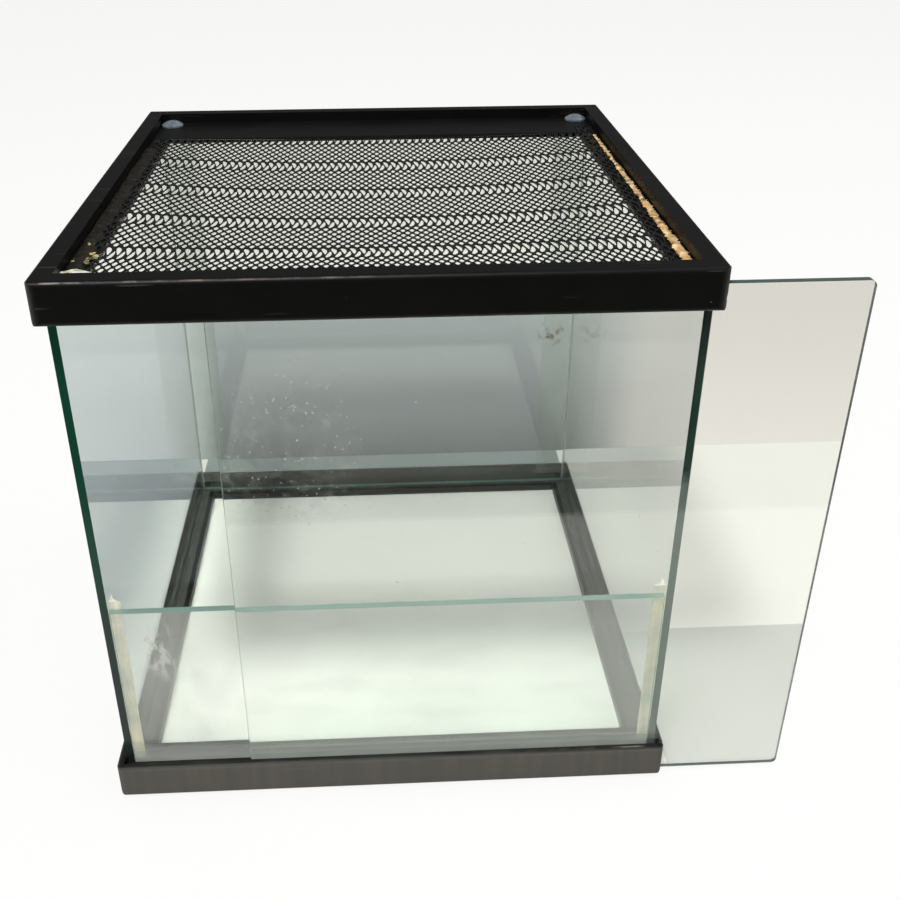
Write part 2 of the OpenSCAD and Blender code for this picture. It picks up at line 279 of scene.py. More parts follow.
def mirrored_felt():
    """Dark felt in mirror images only. A view straight through the tank, from behind, passes it."""
    material, add = start_material("dark_felt")
    coat = add("BsdfDiffuse", {"Color": linear("#0c0c0c")})
    nothing = add("BsdfTransparent", {"Color": linear("#ffffff")})
    mirrors = add("MapRange", [add("LightPath").outputs["Glossy Depth"], 0.0, 1.0])
    add("OutputMaterial", [add("MixShader", [mirrors, nothing, coat])])
    return material


paper = floor_paper()
lit_card = glowing_card()
felt = mirrored_felt()
left_shade_paper = plain_card("left_shade_paper", "#a9b3b4")
pale_paper = plain_card("pale_paper", "#c4c4bd")
shade_paper = plain_card("shade_paper", "#858d8c")
stage_materials = (paper, lit_card, felt, left_shade_paper, pale_paper, shade_paper)
print("stage materials:", [material.name for material in stage_materials])

# %% [markdown]
# ## Floor and cards
# The cards stand where a glass photographer would put them. A low glowing one stands behind the
# tank, with the tank's shade painted into its glow. A grey card lies on the floor behind the tank
# and another at the left, as painted shade on the floor there, and a pale one lies at the right.
# They show through the glass. A dark one lies in front, where the door mirrors it, and shows in
# mirror images only. A picture of a room wrapped round the scene would do much the same, but cards
# are plain shapes at known places. All are hidden from the camera itself, so the white round the
# object stays plain.

# %% Floor and cards
def quad_grid(columns, rows):
    """Faces of a grid of quads whose points are numbered row by row."""
    faces = []
    for row in range(rows):
        for column in range(columns):
            first = row * (columns + 1) + column
            faces.append((first, first + 1, first + columns + 2, first + columns + 1))
    return faces


def flat_card(name, corners, material):
    """A flat card as a grid of 8 by 8 quads between four corners in millimetres."""
    steps = 8
    a, b, c, d = (Vector(corner) * MM for corner in corners)
    points = []
    for row in range(steps + 1):
        for column in range(steps + 1):
            across, along = column / steps, row / steps
            points.append(a.lerp(b, across).lerp(d.lerp(c, across), along))
    return piece(name, points, quad_grid(steps, steps), material)


def lying_card(name, x_range, y_range, z, material):
    """A card that lies level at height z, in millimetres."""
    (left, right), (front, back) = x_range, y_range
    corners = [(left, front, z), (right, front, z), (right, back, z), (left, back, z)]
    return flat_card(name, corners, material)


card_height = 1
back_card_y = 205
back_card_top = 152
back_corners = [(-900, back_card_y, 0), (900, back_card_y, 0), (900, back_card_y, back_card_top),
                (-900, back_card_y, back_card_top)]
floor = lying_card("floor", (-4000, 4000), (-4000, 4000), 0, paper)
back_card = flat_card("back_card", back_corners, lit_card)
# The grey cards at the left and behind the tank are painted shade on the floor.
left_shade_card = lying_card("left_shade_card", (-520, -158), (-150, 204), card_height, left_shade_paper)
right_card = lying_card("right_card", (158, 420), (-400, -30), card_height, pale_paper)
shade_card = lying_card("shade_card", (-150, 150), (155, 204), card_height, shade_paper)
front_card = lying_card("front_card", (-1500, 1500), (-2400, -400), card_height, felt)
cards = (back_card, shade_card, left_shade_card, right_card, front_card)
for card in cards:
    card.visible_camera = False
    card.visible_shadow = False
    card.visible_diffuse = False
print("floor and cards:", [o.name for o in (floor,) + cards])

# %% [markdown]
# ## Lamps and sky
# The key lamp is a soft box high in front and a little to the left, so the lid shades the floor
# pane and the shadow falls behind. A wide lamp on the right and a pale sky fill the rest. One hard
# lamp would be simpler, but its sharp shadows would cover the glass in other views.

# %% Lamps and sky
def lamp(name, place_mm, aim_mm, size_mm, power):
    """A square soft lamp that looks from one point at another, both in millimetres."""
    light = bpy.data.lights.new(name, "AREA")
    light.size = size_mm * MM
    light.energy = power
    made = bpy.data.objects.new(name, light)
    made.location = Vector(place_mm) * MM
    made.rotation_euler = (Vector(aim_mm) - Vector(place_mm)).to_track_quat("-Z", "Y").to_euler()
    bpy.context.scene.collection.objects.link(made)
    return made


def pale_sky():
    """A plain sky: white to the camera, dimmer as light, and dimmer still in mirror images."""
    sky = bpy.data.worlds.new("pale_sky")
    sky.use_nodes = True
    sky.node_tree.nodes.clear()
    add = partial(add_node, sky.node_tree)
    light, mirrored, through_glass = 0.68, 0.14, 0.66
    rays = add("LightPath").outputs
    strength = add("MapRange", [rays["Is Glossy Ray"], 0.0, 1.0, light, mirrored])
    dimming = add("MapRange", [rays["Is Transmission Ray"], 0.0, 1.0, 1.0, through_glass])
    strength = add("Math", [strength, dimming], operation="MULTIPLY")
    strength = add("Math", [strength, rays["Is Camera Ray"]], operation="MAXIMUM")
    add("OutputWorld", [add("Background", {"Color": linear("#ffffff"), "Strength": strength})])
    return sky


tank_middle = (0, 0, 150)
key_lamp = lamp("key_lamp", (-380, -850, 2000), tank_middle, 300, 28)
fill_lamp = lamp("fill_lamp", (1500, 300, 1600), tank_middle, 1600, 11)
bpy.context.scene.world = pale_sky()
print("lamps:", key_lamp.name, fill_lamp.name)

# %% [markdown]
# ## Moulded black plastic
# Both frames are injection-moulded ABS in solid black. Fresh from the mould it has a satin skin
# with a very fine grain. After years of use it carries thin dust on faces that look up, pinhead
# specks, hair scratches, and pale wear where a hand drags over the front edge of the rim, where the
# pale line is also a painted highlight. A thin pale line on the right of the base's front lip is a
# painted highlight. The base stands lower and catches drips, so its outer walls are browner and
# have faint upright streaks, and this paler film is also a painted reflection of the pale floor.
# Two separate materials could do it, but both frames share these functions and their arguments,
# because they differ in wear and not in stuff. The film of dirt also takes the shine off, so the
# specular level is well below that of clean ABS.

# %% ABS plastic: dirt and wear
outer_wall = 151.5


def wear_and_highlight_line(add, y, z, x_from, x_to, half_width):
    """1 along a scuffed arris that runs left to right at (y, z), in millimetres.

    The pale line is scuffing with a painted highlight. It is full at x_from and fades to nothing
    at x_to.
    """
    spot = add("SeparateXYZ", [place(add)])
    off_y = add("Math", [spot.outputs["Y"], y * MM], operation="SUBTRACT")
    off_z = add("Math", [spot.outputs["Z"], z * MM], operation="SUBTRACT")
    off_y = add("Math", [off_y], operation="ABSOLUTE")
    off_z = add("Math", [off_z], operation="ABSOLUTE")
    away = add("Math", [off_y, off_z], operation="MAXIMUM")
    near = add("MapRange", [away, half_width * 0.4 * MM, half_width * MM, 1.0, 0.0])
    along = add("MapRange", [spot.outputs["X"], x_from * MM, x_to * MM, 1.0, 0.0])
    line = add("Math", [near, along], operation="MULTIPLY")
    patchy = mottle(add, 5 * MM, 0.42, 0.62, stretch=(0.6, 1, 1))
    patchy = add("Math", [patchy, 0.7], operation="MULTIPLY")
    return add("Math", [line, patchy], operation="MULTIPLY")


def frame_dirt_and_reflection(add, clouds, streaks, film_and_reflection_share):
    """A share of grime and painted reflection: thin dust on faces that look up, and streaks on the
    outer walls, which also paint in the pale floor that those walls mirror.
    """
    facing = add("SeparateXYZ", [add("NewGeometry").outputs["Normal"]])
    upward = add("MapRange", [facing.outputs["Z"], 0.55, 0.95])
    dust = add("Math", [upward, clouds], operation="MULTIPLY")
    dust = add("Math", [dust, 0.15], operation="MULTIPLY")
    spot = add("SeparateXYZ", [place(add)])
    aside = add("Math", [spot.outputs["X"]], operation="ABSOLUTE")
    back = add("Math", [spot.outputs["Y"]], operation="ABSOLUTE")
    out = add("Math", [aside, back], operation="MAXIMUM")
    outside = add("Math", [out, outer_wall * MM], operation="GREATER_THAN")
    upright = add("Math", [1.0, upward], operation="SUBTRACT")
    walls = add("Math", [outside, upright], operation="MULTIPLY")
    # Streaks on the outer walls: grime, and a painted reflection of the pale floor that makes these
    # walls paler.
    wall_streaks_and_reflection = mottle(add, 5 * MM, 0.3, 0.75, stretch=(1, 1, 0.06), detail=3)
    wall_streaks_and_reflection = add("Math", [wall_streaks_and_reflection, 0.2], operation="MULTIPLY")
    wall_streaks_and_reflection = add("Math", [wall_streaks_and_reflection, 0.8], operation="ADD")
    wall_streaks_and_reflection = add("Math", [wall_streaks_and_reflection, streaks], operation="MULTIPLY")
    wall_streaks_and_reflection = add("Math", [wall_streaks_and_reflection, walls], operation="MULTIPLY")
    dirt_and_reflection = add("Math", [dust, wall_streaks_and_reflection], operation="ADD")
    return add("Math", [dirt_and_reflection, film_and_reflection_share], operation="MULTIPLY")


print("faces more than", outer_wall, "mm from the middle count as outer walls")


# %% ABS plastic: the finish
def moulded_abs(name, base, film, film_and_reflection_share, streaks, wear_and_highlight_place, ruddy_share):
    """Satin black ABS. film is the colour of the grime, and streaks its share on the outer walls,
    where it is also a painted reflection of the floor.

    wear_and_highlight_place is where a pale scuffed line with a painted highlight runs, and
    ruddy_share how much of it has turned reddish.
    """
    material, add = start_material(name)
    clouds = mottle(add, 30 * MM, 0.3, 0.7)
    dirt_and_reflection = frame_dirt_and_reflection(add, clouds, streaks, film_and_reflection_share)
    specks = add("Math", [speckle(add, 9 * MM, 0.7 * MM, 0.35), 0.45], operation="MULTIPLY")
    hairs = mottle(add, 1.6 * MM, 0.72, 0.78, stretch=(0.05, 1, 1), detail=1)
    hairs = add("Math", [hairs, 0.1], operation="MULTIPLY")
    marks = add("Math", [specks, hairs], operation="MAXIMUM")
    ruddy = mottle(add, 30 * MM, 0.5, 0.6, stretch=(1, 0.1, 0.1), detail=1)
    ruddy = add("Math", [ruddy, ruddy_share], operation="MULTIPLY")
    # Colour of the pale arris line: scuffed plastic, reddish in places, and a painted highlight.
    wear_and_highlight_colour = add("Mix", [ruddy, linear("#8b867c"), linear("#5e3432")], data_type="RGBA")
    colour = add("Mix", [dirt_and_reflection, linear(base), linear(film)], data_type="RGBA")
    colour = add("Mix", [marks, colour, linear("#8d8676")], data_type="RGBA")
    colour = add("Mix", [wear_and_highlight_line(add, *wear_and_highlight_place), colour, wear_and_highlight_colour], data_type="RGBA")
    gloss = add("MapRange", [clouds, 0.0, 1.0, 0.38, 0.5])
    dull = add("MapRange", [dirt_and_reflection, 0.0, 0.6, 0.3, 0.7])
    rough = add("Math", [gloss, dull], operation="MAXIMUM")
    # The real grain is about 0.2 mm, too fine to show in this picture, so it is drawn at 0.9 mm.
    skin = add("BsdfPrincipled", {
        "Base Color": colour, "Roughness": rough, "IOR": 1.5, "Specular IOR Level": 0.2,
        "Normal": bumps(add, 0.9 * MM, 2.0, 0.12, 0.08 * MM)})
    add("OutputMaterial", [skin])
    return material


def reach(node_name):
    """A CAD node's lowest and highest corner in millimetres."""
    low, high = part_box(node_name)
    return low / MM, high / MM


rim_low, rim_high = reach("top_frame")
base_low, base_high = reach("base_frame")
# The rim's line is scuffing with a painted highlight, and the base's line, on the right of its
# front lip, is a painted highlight.
rim_wear_and_highlight = (rim_low.y + 0.9, rim_high.z - 0.7, -80, 20, 0.45)
base_highlight = (base_low.y + 2.2, base_high.z, 150, 60, 0.6)
abs_top = moulded_abs("moulded_abs_black", "#080908", "#302f2b", 0.3, 0.0, rim_wear_and_highlight, 1.0)
# On the base the paler film on the outer walls is grime and a painted reflection of the floor.
abs_base = moulded_abs("moulded_abs_grime_and_painted_reflection", "#0a0b0a", "#65625c", 0.87, 0.8, base_highlight, 0.0)
dress("top_frame", abs_top)
dress("base_frame", abs_base)
print("plastic:", abs_top.name, abs_base.name)

# %% [markdown]
# ## Float glass
# The panes are 4 mm soda-lime float glass. Its faces are as smooth as still water, so the shader
# refracts with no roughness and an IOR of 1.52. Iron in it tints it green, which hardly shows
# across 4 mm but is plain at an edge, where the eye looks along the whole pane. Volume absorption
# would give that too, but it is slow and noisy, so faces and cut edges get their own shaders, told
# apart by which way they face. The edges are ground dull and dirty, so they mirror little. Lamps
# must shine through the tank, so shadow rays see a faint tint in place of glass. A thin veil of
# dust, specks and wiping marks is what makes an old pane read as a surface.

# %% Float glass: what lies on it
fog_foot = 16
fog_top = 32


def dusty_patch(add, x, z, radius):
    """Dense small specks within radius of the place (x, z) on an upright pane, in millimetres."""
    centre = (x * MM, 0, z * MM)
    away = add("VectorMath", [place(add, (1, 0, 1)), centre], operation="DISTANCE")
    inside = add("MapRange", [away, radius * 0.35 * MM, radius * MM, 1.0, 0.0])
    fine = add("Math", [speckle(add, 3.1 * MM, 1.0 * MM, 0.6), 0.6], operation="MULTIPLY")
    smear = add("Math", [mottle(add, 6 * MM, 0.5, 0.75), 0.14], operation="MULTIPLY")
    densest = add("Math", [fine, smear], operation="MAXIMUM")
    return add("Math", [inside, densest], operation="MULTIPLY")


def glass_film(add, haze, spot, low_fog, patch):
    """The share of dust on a pane. low_fog is its share at the foot, and patch a dusty_patch."""
    clouds = mottle(add, 90 * MM, 0.3, 0.75, detail=3)
    veil = add("MapRange", [clouds, 0.0, 1.0, haze * 0.55, haze * 1.3])
    wipes = mottle(add, 14 * MM, 0.5, 0.8, stretch=(0.25, 1, 1), detail=3)
    wipes = add("Math", [wipes, haze * 0.5], operation="MULTIPLY")
    # Real dust is a few tenths of a millimetre, too fine to show, so these specks are 1 mm wide.
    specks = add("Math", [speckle(add, 11 * MM, 1.0 * MM, 0.45), 0.5], operation="MULTIPLY")
    film = add("Math", [veil, wipes], operation="ADD")
    film = add("Math", [film, specks], operation="MAXIMUM")
    if low_fog:
        fog = add("MapRange", [spot.outputs["Z"], fog_foot * MM, fog_top * MM, low_fog, 0.0])
        film = add("Math", [film, fog], operation="MAXIMUM")
    if patch:
        film = add("Math", [film, dusty_patch(add, *patch)], operation="MAXIMUM")
    return film


def edge_tint(add, edge, spot, fade):
    """The colour of a cut edge, which turns to another one on its way along an axis."""
    if not fade:
        return linear(edge)
    axis, start, end, far_edge = fade
    ragged = add("Math", [mottle(add, 5 * MM, 0.3, 0.7, detail=3), 8 * MM], operation="MULTIPLY")
    along = add("Math", [spot.outputs[axis], ragged], operation="SUBTRACT")
    share = add("MapRange", [along, start * MM, end * MM])
    return add("Mix", [share, linear(edge), linear(far_edge)], data_type="RGBA")


print("fog at the foot of the sill pane ends", fog_top, "mm above the floor")


# %% Float glass: the panes
def float_glass(name, thin_axis, haze, edge, edge_clear=0.3, low_fog=0.0, patch=None, fade=None):
    """Dusty clear glass with cut edges. thin_axis is the way through the pane.

    edge_clear is how much light the cut edges let through, and fade is (axis, from, to, colour).
    """
    material, add = start_material(name)
    facing = add("SeparateXYZ", [add("NewGeometry").outputs["True Normal"]])
    face_on = add("Math", [facing.outputs[thin_axis]], operation="ABSOLUTE")
    on_face = add("Math", [face_on, 0.7], operation="GREATER_THAN")
    spot = add("SeparateXYZ", [place(add)])
    clear = add("BsdfPrincipled", {
        "Base Color": linear("#fcfefd"), "Roughness": 0.0, "IOR": 1.52, "Transmission Weight": 1.0})
    dust = add("BsdfDiffuse", {"Color": linear("#d3d6d0")})
    face = add("MixShader", [glass_film(add, haze, spot, low_fog, patch), clear, dust])
    rim = add("BsdfPrincipled", {
        "Base Color": edge_tint(add, edge, spot, fade), "Roughness": 0.22, "IOR": 1.52,
        "Specular IOR Level": 0.2, "Transmission Weight": edge_clear})
    pane = add("MixShader", [on_face, rim, face])
    lit = add("BsdfTransparent", {"Color": linear("#fafcfb")})
    lamp_ray = add("LightPath").outputs["Is Shadow Ray"]
    add("OutputMaterial", [add("MixShader", [lamp_ray, pane, lit])])
    return material


panes = {
    "left_glass": float_glass("float_glass_left", "X", 0.012, "#0c3a2c", edge_clear=0.03,
                              fade=("Z", 150, 90, "#26302d")),
    # Below about 190 mm the right pane's front edge is painted paler grey: a painted reflection in
    # the door glass in front of it.
    "right_glass": float_glass("float_glass_right", "X", 0.03, "#0b2f24", edge_clear=0.0,
                               fade=("Z", 196, 186, "#66756d")),
    "back_glass": float_glass("float_glass_back", "Y", 0.02, "#e6ead9", edge_clear=0.15),
    "sill_glass": float_glass("float_glass_sill", "Y", 0.16, "#8caa9f", edge_clear=0.4,
                              low_fog=0.6),
    "floor_glass": float_glass("float_glass_floor", "Z", 0.008, "#5b9a86"),
}
for pane_name, finish in panes.items():
    dress(pane_name, finish)
door_pane = float_glass("float_glass_door", "Y", 0.012, "#46534e", edge_clear=0.1,
                        patch=(-48, 222, 62), fade=("X", -60, -70, "#c3d3c9"))
dress("sliding_door", door_pane)
print("glass:", [finish.name for finish in panes.values()], door_pane.name)

# %% [markdown]
# ## Silicone
# Every inside corner is sealed with a fillet of clear acetic silicone, smoothed with a wet finger.
# Thin silicone on glass is nearly clear with a milky bloom, and thick silicone is creamy and looks
# wet. It is bonded to the glass, so light crosses that joint without bending, and straight
# transparency is truer than a second refraction. Mixed with a pale glossy body it gives every
# thickness from one function. Vertical streaks are the marks of the finger.

# %% Silicone
def cured_silicone(name, colour, body_share):
    """Clear sealant with a share of milky body."""
    material, add = start_material(name)
    shade = add("Mix", [mottle(add, 12 * MM), linear(colour), linear("#dfe0d2")], data_type="RGBA")
    body = add("BsdfPrincipled", {
        "Base Color": shade, "Roughness": 0.25, "IOR": 1.41,
        "Normal": bumps(add, 6 * MM, 3.0, 0.4, 0.4 * MM)})
    clear = add("BsdfTransparent", {"Color": linear("#fbfdfb")})
    streaks = mottle(add, 7 * MM, 0.3, 0.75, stretch=(1, 1, 0.08))
    share = add("Math", [streaks, 0.9], operation="MULTIPLY")
    share = add("Math", [share, 0.55], operation="ADD")
    share = add("Math", [share, body_share], operation="MULTIPLY")
    sealant = add("MixShader", [share, clear, body])
    lit = add("BsdfTransparent", {"Color": linear("#f8faf8")})
    lamp_ray = add("LightPath").outputs["Is Shadow Ray"]
    add("OutputMaterial", [add("MixShader", [lamp_ray, sealant, lit])])
    return material


clear_silicone = cured_silicone("cured_silicone_clear", "#e3e7e2", 0.04)
milky_silicone = cured_silicone("cured_silicone_milky", "#f4faf2", 0.3)
bloomed_silicone = cured_silicone("cured_silicone_bloomed", "#f4faf2", 0.09)
cream_silicone = cured_silicone("cured_silicone_cream", "#fff6e2", 0.85)
for side_name in ("left", "right"):
    dress("seal_floor_" + side_name, clear_silicone)
    dress("seal_back_" + side_name, bloomed_silicone)
    dress("seal_front_" + side_name, cream_silicone)
dress("seal_floor_back", clear_silicone)
dress("seal_floor_front", milky_silicone)
print("sealed corners:", sum(n.startswith("seal_") for n in nodes))

# %% [markdown]
# ## The expanded metal sheet
# Expanded metal starts as a solid sheet that is slit in staggered rows and pulled open. Where two
# slits end, a node stays, and every opening lies between two nodes of its column. This sheet has
# eight rows of small diamonds, then two rows of longer openings that curl like fish scales, and so
# on. It could be an image with transparency, but then it would have no thickness, and at this low
# angle the thickness hides half of every hole. So all the openings are real, and their sizes come
# first.

# %% Expanded metal: sizes in millimetres
column_pitch = 4.6
band = 50.4
fine_row = 4.11
small_cell = 2 * fine_row
scale_cell = band - 4 * small_cell
node_room = 1.0
diamond_half_width = 1.3
scale_half_width = 1.72
scale_length = 11.4
scale_curl = 1.5
scale_lean = 0.35
first_scale_y = -94.65
scale_inset = 0.4
second_row_drop = 17.0
first_node_gap = 2.6
bands = range(-1, 6)
columns = range(-32, 33)
gauge = 0.55
sheet_low, sheet_high = reach("mesh_screen")
print("sheet:", [round(v, 1) for v in sheet_low], [round(v, 1) for v in sheet_high])
print("scale cell:", scale_cell)

# %% [markdown]
# ### The outlines
# Each opening is a middle line with a width at every place along it: the same at both ends for a
# diamond, and wide at one end and bent for a scale. Drawing one outline by hand would do too, but a
# width function needs only a few numbers, and the rows then repeat by the pitches above.

# %% Expanded metal: outlines of the openings
def closed_outline(place_at, width_at):
    """An outline round a middle line. Both functions take a share of its length, from 0 to 1."""
    steps = 10
    right, left = [], []
    for step in range(steps + 1):
        share = 0.5 - 0.5 * math.cos(math.pi * step / steps)
        x, y = place_at(share)
        right.append((x + width_at(share), y))
        left.append((x - width_at(share), y))
    return right + left[-2:0:-1]


def diamond(cx, back_y, front_y):
    """A small opening between two nodes."""
    return closed_outline(
        lambda share: (cx, back_y + (front_y - back_y) * share),
        lambda share: diamond_half_width * math.sin(math.pi * share) ** 0.75)


def scale(cx, wide_y, thin_y):
    """A long opening, wide at one end, that curls to the right on its way to the thin end."""
    return closed_outline(
        lambda share: (cx - scale_lean + scale_curl * (1 - (1 - share) ** 2),
                       wide_y + (thin_y - wide_y) * share),
        lambda share: scale_half_width * math.sin(math.pi * share) ** 0.5 * (1 - 0.65 * share))


def diamond_below(x, node):
    """The diamond in front of a node."""
    return diamond(x, node - node_room, node - small_cell + node_room)


def openings():
    """Outlines of every opening of an endless sheet, band by band from the front."""
    found = []
    for band_number in bands:
        top = first_scale_y + band_number * band
        back_start, front_start = top - scale_inset, top - second_row_drop
        first_node = top + first_node_gap - scale_cell
        for column in columns:
            x = column * column_pitch
            between = x + column_pitch / 2
            found.append(scale(x, back_start, back_start - scale_length))
            found.append(scale(between, front_start, front_start + scale_length))
            for cell in range(4):
                node = first_node - cell * small_cell
                found.append(diamond_below(x, node))
                found.append(diamond_below(between, node - fine_row))
    return found


print("openings on the endless sheet:", len(openings()))

# %% [markdown]
# ### Sag and trim
# The real sheet sags by several millimetres, which bends its rows towards the front in this view.
# Its back edge is cut short and hangs free. A cloth simulation could find such a shape, but the
# sheet is stiff, so a smooth hollow with a measured depth is closer. Openings that meet the back
# edge are clipped there, as shears would, and those that reach another edge are left closed.

# %% Expanded metal: sag and trim
hole_x = 131.5
hole_front_y = -127.5
hole_back_y = 99.9
hole_middle_y = (hole_front_y + hole_back_y) / 2
sag_depth = 6.1
sag_power = 2.2
free_edge_share = 0.33
edge_margin = 0.4
shortest_opening = 1.5
back_edge_y = hole_back_y - edge_margin
front_edge_y = sheet_low.y
sheet_line = [
    (sheet_low.x, front_edge_y), (sheet_high.x, front_edge_y), (sheet_high.x, sheet_high.y),
    (hole_x, sheet_high.y), (hole_x, back_edge_y), (sheet_low.x, back_edge_y)]


def sag(x, y):
    """How far the sheet hangs below its edges, in millimetres. Its back edge is free."""
    across = 1 - abs(x / hole_x) ** sag_power
    half = (hole_back_y - hole_front_y) / 2
    along = 1 - abs((y - hole_middle_y) / half) ** sag_power
    if y > hole_middle_y:
        along = free_edge_share + (1 - free_edge_share) * along
    return sag_depth * max(0.0, across) * max(0.0, along)


def cut_at(outline, y_limit):
    """The part of an outline in front of y_limit."""
    kept = []
    for (x0, y0), (x1, y1) in zip(outline, outline[1:] + outline[:1]):
        if y0 < y_limit:
            kept.append((x0, y0))
        if (y0 < y_limit) != (y1 < y_limit):
            kept.append((x0 + (x1 - x0) * (y_limit - y0) / (y1 - y0), y_limit))
    return kept


def fitted(outline):
    """An outline cut off at the sheet's back edge, or nothing where it meets another edge."""
    xs = [x for x, y in outline]
    front_y = min(y for x, y in outline)
    back_limit = sheet_high.y if min(xs) > hole_x else back_edge_y
    if min(xs) < sheet_low.x + edge_margin or max(xs) > sheet_high.x - edge_margin:
        return []
    if front_y < front_edge_y + edge_margin or front_y > back_limit - shortest_opening:
        return []
    return cut_at(outline, back_limit - edge_margin)


print("sag in the middle:", round(sag(0, hole_middle_y), 1), "mm")
print("sag at the free back edge:", round(sag(0, back_edge_y), 1), "mm")

# %% [markdown]
# ### Cutting the openings
# Thousands of Boolean cuts are slow and fragile. A constrained Delaunay triangulation takes every
# outline as fixed edges and fills the rest in one step, and the triangles inside an outline are
# then left out. Each triangle knows which outlines its corners belong to, so only a few of them
# have to be tested.

# %% Expanded metal: triangulate
def in_loop(x, y, loop):
    """True if a point is inside a closed outline."""
    odd = False
    for (x0, y0), (x1, y1) in zip(loop, loop[1:] + loop[:1]):
        if (y0 > y) != (y1 > y) and x < (x1 - x0) * (y - y0) / (y1 - y0) + x0:
            odd = not odd
    return odd


def expanded_sheet():
    """Points and triangles of the sheet's top face in millimetres, and how many openings it has."""
    loops = [sheet_line] + [loop for loop in map(fitted, openings()) if loop]
    flat, edges, owner = [], [], []
    for number, loop in enumerate(loops):
        first = len(flat)
        flat += [Vector(p) for p in loop]
        edges += [(first + i, first + (i + 1) % len(loop)) for i in range(len(loop))]
        owner += [number] * len(loop)
    inside_only, epsilon = 1, 1e-6
    points, _, faces, sources, _, _ = delaunay_2d_cdt(flat, edges, [], inside_only, epsilon)
    owners = [{owner[s] for s in source} for source in sources]
    kept = []
    for face in faces:
        shared = set.intersection(*(owners[i] for i in face))
        centre = sum((points[i] for i in face), Vector((0, 0))) / 3
        in_hole = any(n > 0 and in_loop(centre.x, centre.y, loops[n]) for n in shared)
        if not in_hole and in_loop(centre.x, centre.y, sheet_line):
            kept.append(tuple(face))
    return points, kept, len(loops) - 1


flat_points, sheet_faces, opening_count = expanded_sheet()
print("openings:", opening_count, "triangles:", len(sheet_faces))

# %% [markdown]
# The sheet is painted black after it is expanded. The enamel is thin and glossy, rounds every
# strand, and has rubbed off to a brownish bloom here and there. A dielectric coat on a dark base
# gives that look, and the metal underneath never shows, so metallic stays at 0. A Solidify modifier
# gives the sheet its gauge, which keeps the mesh itself a simple surface.

# %% Enamelled metal and the finished sheet
def black_enamel():
    """Glossy black paint on thin metal."""
    material, add = start_material("enamelled_expanded_steel")
    bloom = add("Math", [mottle(add, 6 * MM, 0.5, 0.75), 0.3], operation="MULTIPLY")
    colour = add("Mix", [bloom, linear("#080908"), linear("#26231e")], data_type="RGBA")
    paint = add("BsdfPrincipled", {
        "Base Color": colour, "Roughness": 0.36, "IOR": 1.5,
        "Normal": bumps(add, 1.2 * MM, 2.0, 0.3, 0.15 * MM)})
    add("OutputMaterial", [paint])
    return material


sheet_top = sheet_low.z + gauge
sheet_points = [(p.x * MM, p.y * MM, (sheet_top - sag(p.x, p.y)) * MM) for p in flat_points]
sheet = piece("expanded_metal_sheet", sheet_points, sheet_faces, black_enamel(), "mesh_metal",
              smooth=False)
gauge_modifier = sheet.modifiers.new("gauge", "SOLIDIFY")
gauge_modifier.thickness = gauge * MM
gauge_modifier.offset = -1
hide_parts("mesh_screen")
print("sheet vertices:", len(sheet.data.vertices))

# %% [markdown]
# ## Glue
# Somebody re-fixed the sheet with hot-melt glue, which sets in a lumpy amber run with brown,
# scorched edges. On the left the old glue is dark with dirt and shows yellow where it is chipped,
# and a pale bubbly heap sits at the front. Hot melt is a soft wax: cloudy, glossy and warm. One
# flat colour would look like plastic, so three colours are mixed in blotches, with a little light
# let in under the skin.

# %% Glue material
def hot_melt(name, body, bright, deep, share_bright, gloss):
    """Cloudy glue in three colours: its body, bright places, and deep or dirty ones.

    In the amber glue the bright places are thin glue and painted highlights.
    """
    material, add = start_material(name)
    # Bright blotches: thin glue, and in the amber glue also painted highlights.
    thin = add("Math", [mottle(add, 5 * MM, 0.45, 0.6), share_bright], operation="MULTIPLY")
    deep_share = mottle(add, 9 * MM, 0.5, 0.68)
    colour = add("Mix", [deep_share, linear(body), linear(deep)], data_type="RGBA")
    colour = add("Mix", [thin, colour, linear(bright)], data_type="RGBA")
    wax = add("BsdfPrincipled", {
        "Base Color": colour, "Roughness": gloss, "IOR": 1.48, "Subsurface Weight": 0.15,
        "Subsurface Radius": (2 * MM, 1.2 * MM, 0.6 * MM), "Subsurface Scale": 1.0,
        "Normal": bumps(add, 2.5 * MM, 3.0, 0.5, 0.6 * MM)})
    add("OutputMaterial", [wax])
    return material


# The amber run's pale blotches are thin glue and painted highlights.
amber = hot_melt("hot_melt_amber", "#c69a62", "#ebd3a6", "#4e361e", 0.85, 0.45)
dark = hot_melt("hot_melt_dirty", "#0f0d0a", "#332c17", "#080706", 0.4, 0.5)
chipped = hot_melt("hot_melt_chipped", "#8b7c48", "#cfc58e", "#2c2614", 0.6, 0.4)
pale = hot_melt("hot_melt_pale", "#b9b9ac", "#e3e2d6", "#8f8258", 0.8, 0.25)
print("glue:", amber.name, dark.name, chipped.name, pale.name)

# %% [markdown]
# ### A crust as a height field
# Each crust is a fine grid over the sheet, raised by a height function and cut off where the height
# falls to nothing. Sculpting could do it too, but a function is easy to change and always seats on
# the sheet. Noise gives ragged edges, which a swept tube can't have.

# %% Glue: a crust as a height field
def grain_at(seed, x, y, size):
    """Smooth noise from -1 to 1 over the sheet, in blotches of about size millimetres."""
    return noise.noise(Vector((x / size, y / size, 11.7 * seed)))


def dome(distance):
    """Height from 0 to 1 of a bead at a distance from 0 at its middle to 1 at its edge."""
    return math.sqrt(1 - distance * distance) if distance < 1 else -1.0


